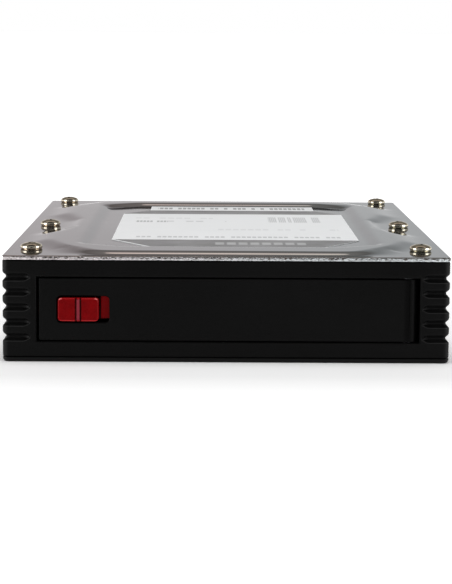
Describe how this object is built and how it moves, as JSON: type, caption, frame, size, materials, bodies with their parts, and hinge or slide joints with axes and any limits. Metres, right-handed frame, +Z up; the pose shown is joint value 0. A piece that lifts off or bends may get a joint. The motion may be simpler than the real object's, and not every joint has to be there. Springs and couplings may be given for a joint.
{
  "type": "drive bay adapter",
  "caption": "Flat drive-sized housing with a pressed metal lid and a hinged front door with a sliding latch, to carry a smaller drive in a larger drive bay.",
  "frame": {"origin": "middle of the floor plate's lower face", "axes": "+X to the right seen from the door, +Y from the door to the rear plug, +Z up through the lid"},
  "size_m": [0.1016, 0.147, 0.0259],
  "materials": {
    "black_plastic": "fine moulded texture",
    "black_plate": "semi-gloss",
    "cover_metal": "bright pressed sheet",
    "label_film": "printed film",
    "nickel_screw": "nickel plated",
    "black_screw": "black oxide",
    "insert_brass": "machined",
    "pin_steel": "drawn",
    "red_plastic": "satin gloss",
    "pad_rubber": "closed-cell foam",
    "board_green": "solder mask",
    "connector_black": "moulded",
    "contact_gold": "gold plated",
    "capacitor_ceramic": "fired ceramic"
  },
  "bodies": {
    "housing": {"main_frame": "black_plastic", "bottom_plate": "black_plate", "top_cover": "cover_metal", "cover_label": "label_film", "cover_screws": "nickel_screw", "base_screws": "black_screw", "side_inserts": "insert_brass", "base_inserts": "insert_brass", "door_hinge_pin": "pin_steel", "backplane_board": "board_green", "drive_socket": "connector_black", "drive_socket_contacts": "contact_gold", "host_plug": "connector_black", "host_plug_contacts": "contact_gold", "board_capacitors": "capacitor_ceramic", "board_screws": "nickel_screw"},
    "door": {"front_door": "black_plastic", "latch_retainer": "black_plastic", "retainer_screws": "nickel_screw", "door_pad": "pad_rubber", "latch_spring": "pin_steel"},
    "latch": {"latch_slider": "red_plastic"}
  },
  "joints": [
    {"name": "door_hinge", "type": "hinge", "parent": "housing", "child": "door", "pos_m": [0.0414, -0.0706, 0.01205], "axis": [0, 0, 1], "range_deg": [0, 90]},
    {"name": "latch_slide", "type": "slide", "parent": "door", "child": "latch", "axis": [1, 0, 0], "range_m": [0, 0.0022], "stiffness_N_per_m": 150, "springref_m": -0.002, "deforming": ["latch_spring"]}
  ]
}
